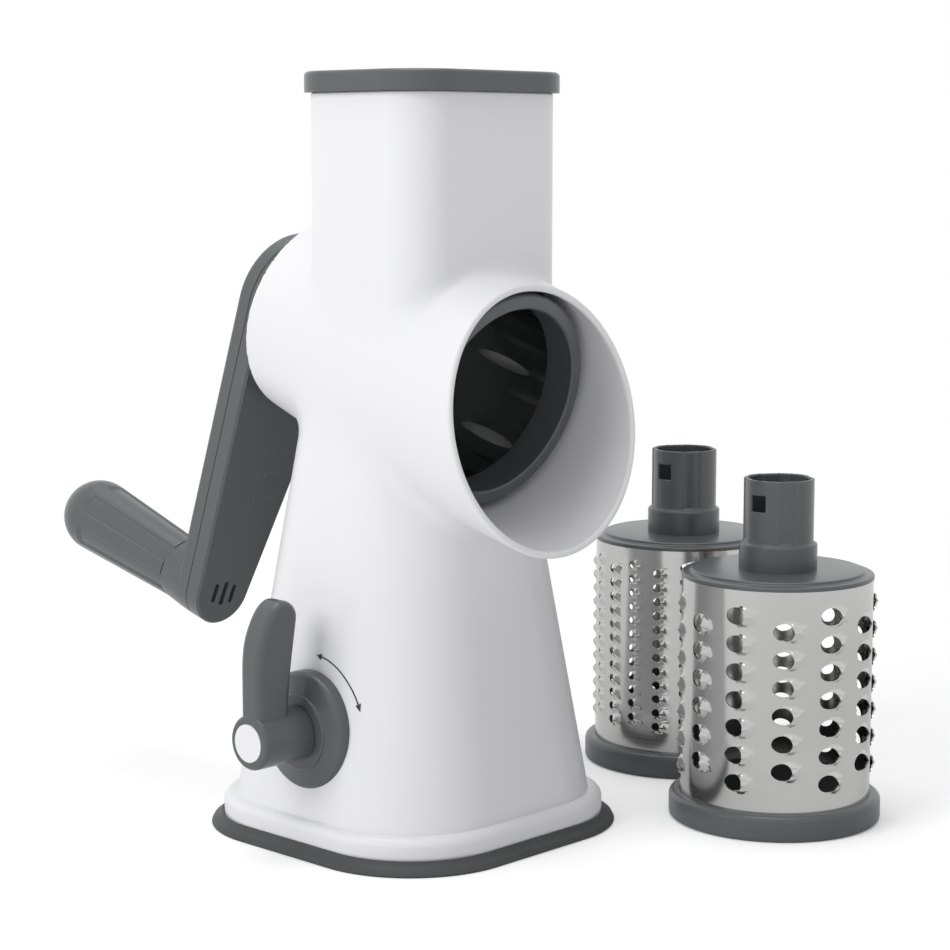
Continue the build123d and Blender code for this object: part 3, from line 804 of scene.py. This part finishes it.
coarse_layout = (78.5, 28.6, 12, 10.07, (7, 50.0), (6, 50.0))
fine_layout = (61.0, 17.7, 20, 5.5, (12, 50.0), (12, 52.75))
slicing_layout = (0.0, 45.0, 8, 32.0, (2, 50.0), (2, 42.0))
# For each drum: its place, layout, hole, height and ridges of a tooth, rings and side points of a patch
sheets = {
    "coarse_drum": (standing(COARSE_XY), coarse_layout, (4.3, 3.15), 1.9, 3, 9, 8),
    "fine_drum": (standing(FINE_XY), fine_layout, (2.1, 1.65), 1.15, 0, 3, 4),
    "slicing_drum": (in_barrel, slicing_layout, (2.6, 13.0), 0.6, 0, 6, 12),
}
end_profile = [(0.0, END_PLUG_LOW), (END_PLUG_R, END_PLUG_LOW), (END_PLUG_R, SHEET_Z1), (END_R, SHEET_Z1)]
end_profile += arc(END_R - END_ROUND, END_TOP - END_ROUND, END_ROUND, 0, 84, 6) + [(DISC_FOOT_R, END_TOP)]
end_profile += arc(DISC_R - DISC_ROUND, DISC_TOP - DISC_ROUND, DISC_ROUND, 0, 84, 6)
end_profile += [(HUB_SEAT_R, DISC_TOP), (0.0, DISC_TOP)]
foot_bend = FLANGE_R - FLANGE_FOOT_ROUND
top_bend = FLANGE_R - FLANGE_TOP_ROUND
ring_profile = [(SLEEVE_R, SLEEVE_BREAK), (SLEEVE_R + SLEEVE_BREAK, 0.0), (foot_bend, 0.0)]
ring_profile += arc(foot_bend, FLANGE_FOOT_ROUND, FLANGE_FOOT_ROUND, -78, 0, 8)
ring_profile += arc(top_bend, FLANGE_H - FLANGE_TOP_ROUND, FLANGE_TOP_ROUND, 0, 84, 8)
ring_profile += [(SHEET_R + SHEET_GAP, FLANGE_H), (SHEET_R + SHEET_GAP, SHEET_Z0), (SLEEVE_OUT_R, SHEET_Z0)]
ring_profile += [(SLEEVE_OUT_R, SLEEVE_H), (SLEEVE_R, SLEEVE_H)]
hub_points, hub_faces, hub_normals = settled(hub_distance, HUB_LOW, HUB_HIGH, HUB_CELL)
for body, (place, *form) in sheets.items():
    sheet = punched_sheet(body + "_skin", place, *form)
    ring = surface(body + "_flange", place(lathe(ring_profile)), along=True)
    sharpen(ring)
    paint(ring, dark_abs)
    for piece in (sheet, ring):
        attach(piece, body)
    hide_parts(body + "_sheet")
    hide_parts(body + "_ring")
    if place is in_barrel:
        paint(nodes[body + "_hub"], dark_abs)
        continue
    end_plate = surface(body + "_end_plate", place(lathe(end_profile)))
    sharpen(end_plate)
    hub = mesh_object(body + "_grooved_hub", place(hub_points), hub_faces, hub_normals)
    for piece in (end_plate, hub):
        paint(piece, dark_abs)
        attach(piece, body)
    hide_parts(body + "_hub")


# Crank: two dark grey half shells screwed together, with a sleeve that turns in the barrel's rear bush.
# The halves meet round the arm, where a fine near-black band is painted shade of the seam. The grip, with
# long shallow panels, turns on a steel pin.
CRANK_MID = -61.9
CRANK_END_R = 24.9
CRANK_TIP_R = 12.7
CRANK_LEN = 115.7
CRANK_SWING = radians(-8.95)
LINE_HALF = 0.22
LINE_OUT = 0.03
LINE_DEPTH = 0.1
GRIP_START = -79.4
GRIP_DOME = -134.0
GRIP_R0 = 11.9
GRIP_R1 = 14.4
GRIP_BREAK = 0.4
PANEL_TURN = pi / 3
PANEL_DEPTH = 0.75
PANEL_HALF = 0.3
PANEL_SIDE = 0.035
PANEL_FROM = 4.0
PANEL_RUN_IN = 0.8
BORE_R = 3.2
SNAP_R = 3.75
SNAP_START = -129.9
BORE_END = -137.0


def on_crank(x, up, along):
    """Points given in the arm's own directions, swung with it about the barrel's axis."""
    turned_x = x * cos(CRANK_SWING) - up * sin(CRANK_SWING)
    turned_up = x * sin(CRANK_SWING) + up * cos(CRANK_SWING)
    return from_barrel(turned_x, turned_up, along)


def arm_line(count=240):
    """Narrow band of painted seam shade round the arm, where its halves meet: the outline of two circles and
    their tangents.
    """
    lean = np.arcsin((CRANK_END_R - CRANK_TIP_R) / CRANK_LEN)
    turn = np.linspace(-lean, 2 * pi - lean, count, endpoint=False)
    at_end = turn < pi + lean
    radius = np.where(at_end, CRANK_END_R, CRANK_TIP_R) + LINE_OUT
    along = CRANK_MID + LINE_HALF * np.array([-1.0, 1.0])[:, None]
    up = radius * np.sin(turn) - np.where(at_end, 0, CRANK_LEN)
    return on_crank(radius * np.cos(turn), up, along)


def grip_surface(count=240, dome_steps=24, cone_steps=60):
    """Cone with a half-ball end, turned about the pin, less six shallow panels that fade at their edges, and
    a bore for the pin that widens at its snap end."""
    dome = np.radians(np.linspace(-90, 0, dome_steps))
    side = np.linspace(GRIP_DOME, GRIP_START, cone_steps)[1:]
    along = np.concatenate([GRIP_DOME + GRIP_R1 * np.sin(dome), side])
    cone = GRIP_R1 + (GRIP_R0 - GRIP_R1) * (side - GRIP_DOME) / (GRIP_START - GRIP_DOME)
    radius = np.concatenate([GRIP_R1 * np.cos(dome), cone])[:, None]
    turn = np.arange(count) * 2 * pi / count
    off = np.abs(turn % PANEL_TURN - PANEL_TURN / 2)
    in_panel = np.clip((PANEL_HALF - off) / PANEL_SIDE, 0, 1)
    in_length = np.clip((along - GRIP_DOME - PANEL_FROM) / PANEL_RUN_IN, 0, 1)[:, None]
    radius = radius - PANEL_DEPTH * in_panel * in_length
    bore_r = np.array([BORE_R, BORE_R, SNAP_R, SNAP_R, 0])[:, None] + 0 * turn
    bore_along = [GRIP_START, SNAP_START, SNAP_START, BORE_END, BORE_END]
    radius = np.concatenate([radius, radius[-1:] - GRIP_BREAK, bore_r])
    along = np.concatenate([along, [GRIP_START], bore_along])[:, None]
    return on_crank(radius * np.cos(turn), radius * np.sin(turn) - CRANK_LEN, along)


# Near-black colour of the seam band: painted shade, standing for the shadow in the groove between the halves.
seam_shade = moulded("seam_shade", (0.018, 0.019, 0.02), 0.6, 900.0, 0.00001)
parting = surface("crank_seam_shade_line", arm_line())
solid = parting.modifiers.new("line_depth", "SOLIDIFY")
solid.thickness = LINE_DEPTH * MM
solid.offset = -1
paint(parting, seam_shade)
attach(parting, "crank")
grip = surface("crank_grip_panels", grip_surface())
sharpen(grip, 50.0)
paint(grip, dark_abs)
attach(grip, "grip")
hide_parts("crank_grip")
for part in ("crank_arm_inner", "crank_arm_outer", "crank_sleeve"):
    paint(nodes[part], dark_abs)
for part in ("arm_screws", "grip_pin"):
    paint(nodes[part], screw_steel)


# Pusher: a dark grey lid with a hollow plunger under it that presses the food onto the drum.
# Both are moulded in ABS. The lid rests over the hopper's lip, and the plunger slides in the throat.
for part in ("pusher_cap", "pusher_plunger"):
    paint(nodes[part], dark_abs)


# Studio: a pale floor that fades to white, two soft lamps and an even sky.
# The camera stands where the photograph was taken from.
FLOOR_HALF = 30.0
FLOOR_TONE = (0.93, 0.93, 0.935)
FLOOR_FADE = (0.3, 0.8)
FLOOR_LIFT = 0.25
SKY_LIGHT = 0.41


def floor_material():
    """Pale matt floor that becomes plain white away from the object."""
    material = bpy.data.materials.new("pale_floor")
    material.use_nodes = True
    tree = material.node_tree
    tree.nodes.clear()
    place = tree.nodes.new("ShaderNodeTexCoord")
    far = tree.nodes.new("ShaderNodeVectorMath")
    far.operation = "LENGTH"
    tree.links.new(place.outputs["Object"], far.inputs[0])
    fade = tree.nodes.new("ShaderNodeMapRange")
    fade.interpolation_type = "SMOOTHSTEP"
    fade.inputs["From Min"].default_value = FLOOR_FADE[0]
    fade.inputs["From Max"].default_value = FLOOR_FADE[1]
    tree.links.new(far.outputs["Value"], fade.inputs["Value"])
    matt = tree.nodes.new("ShaderNodeBsdfDiffuse")
    matt.inputs["Color"].default_value = (*FLOOR_TONE, 1)
    white = tree.nodes.new("ShaderNodeEmission")
    white.inputs["Color"].default_value = (1, 1, 1, 1)
    glow = tree.nodes.new("ShaderNodeEmission")
    ray = tree.nodes.new("ShaderNodeLightPath")
    lift = tree.nodes.new("ShaderNodeMath")
    lift.operation = "MULTIPLY"
    lift.inputs[1].default_value = FLOOR_LIFT
    tree.links.new(ray.outputs["Is Camera Ray"], lift.inputs[0])
    tree.links.new(lift.outputs["Value"], glow.inputs["Strength"])
    near = tree.nodes.new("ShaderNodeAddShader")
    tree.links.new(matt.outputs["BSDF"], near.inputs[0])
    tree.links.new(glow.outputs["Emission"], near.inputs[1])
    mix = tree.nodes.new("ShaderNodeMixShader")
    end = tree.nodes.new("ShaderNodeOutputMaterial")
    tree.links.new(fade.outputs["Result"], mix.inputs["Fac"])
    tree.links.new(near.outputs["Shader"], mix.inputs[1])
    tree.links.new(white.outputs["Emission"], mix.inputs[2])
    tree.links.new(mix.outputs["Shader"], end.inputs["Surface"])
    return material


floor_spots = np.array([[-1, -1, 0], [1, -1, 0], [1, 1, 0], [-1, 1, 0]], float) * FLOOR_HALF / MM
floor = mesh_object("floor", floor_spots, np.array([[0, 1, 2, 3]]))
paint(floor, floor_material())

world = bpy.data.worlds.new("studio_sky")
bpy.context.scene.world = world
world.use_nodes = True
sky = world.node_tree
ray = sky.nodes.new("ShaderNodeLightPath")
seen = sky.nodes.new("ShaderNodeMath")
seen.operation = "MAXIMUM"
sky.links.new(ray.outputs["Is Camera Ray"], seen.inputs[0])
sky.links.new(ray.outputs["Is Glossy Ray"], seen.inputs[1])
level = sky.nodes.new("ShaderNodeMapRange")
level.inputs["To Min"].default_value = SKY_LIGHT
level.inputs["To Max"].default_value = 1.0
sky.links.new(seen.outputs["Value"], level.inputs["Value"])
sky.nodes["Background"].inputs["Color"].default_value = (1, 1, 1, 1)
sky.links.new(level.outputs["Result"], sky.nodes["Background"].inputs["Strength"])


def lamp(name, spot, aim, size, power, mirrored):
    """Square soft lamp at a spot, facing a point, that gloss mirrors or not; places in metres."""
    data = bpy.data.lights.new(name, "AREA")
    data.size = size
    data.energy = power
    obj = bpy.data.objects.new(name, data)
    bpy.context.scene.collection.objects.link(obj)
    obj.visible_glossy = mirrored
    obj.location = spot
    obj.rotation_euler = (Vector(aim) - Vector(spot)).to_track_quat("-Z", "Y").to_euler()


MIDDLE = (0.03, -0.02, 0.13)
lamp("key_lamp", (-1.6, 0.25, 1.0), MIDDLE, 1.0, 14.5, False)
lamp("top_lamp", (0.0, 0.1, 2.0), MIDDLE, 1.4, 15.5, True)

CAMERA_TURN = radians(-44.67)
CAMERA_AWAY = 0.8504
CAMERA_HEIGHT = 0.2436
CAMERA_PITCH = radians(7.801)
CAMERA_YAW = radians(-1.523)
CAMERA_LENS = 90.32
CAMERA_SENSOR = 36.0
heading = CAMERA_TURN + CAMERA_YAW
ahead = Vector((-sin(heading) * cos(CAMERA_PITCH), cos(heading) * cos(CAMERA_PITCH), -sin(CAMERA_PITCH)))
right = Vector((cos(heading), sin(heading), 0))
pose = Matrix((right, right.cross(ahead), -ahead)).transposed().to_4x4()
pose.translation = (sin(CAMERA_TURN) * CAMERA_AWAY, -cos(CAMERA_TURN) * CAMERA_AWAY, CAMERA_HEIGHT)
lens = bpy.data.cameras.new("photo_camera")
lens.lens = CAMERA_LENS
lens.sensor_width = CAMERA_SENSOR
camera = bpy.data.objects.new("photo_camera", lens)
bpy.context.scene.collection.objects.link(camera)
camera.matrix_world = pose
bpy.context.scene.camera = camera
bpy.context.scene.view_settings.view_transform = "Standard"
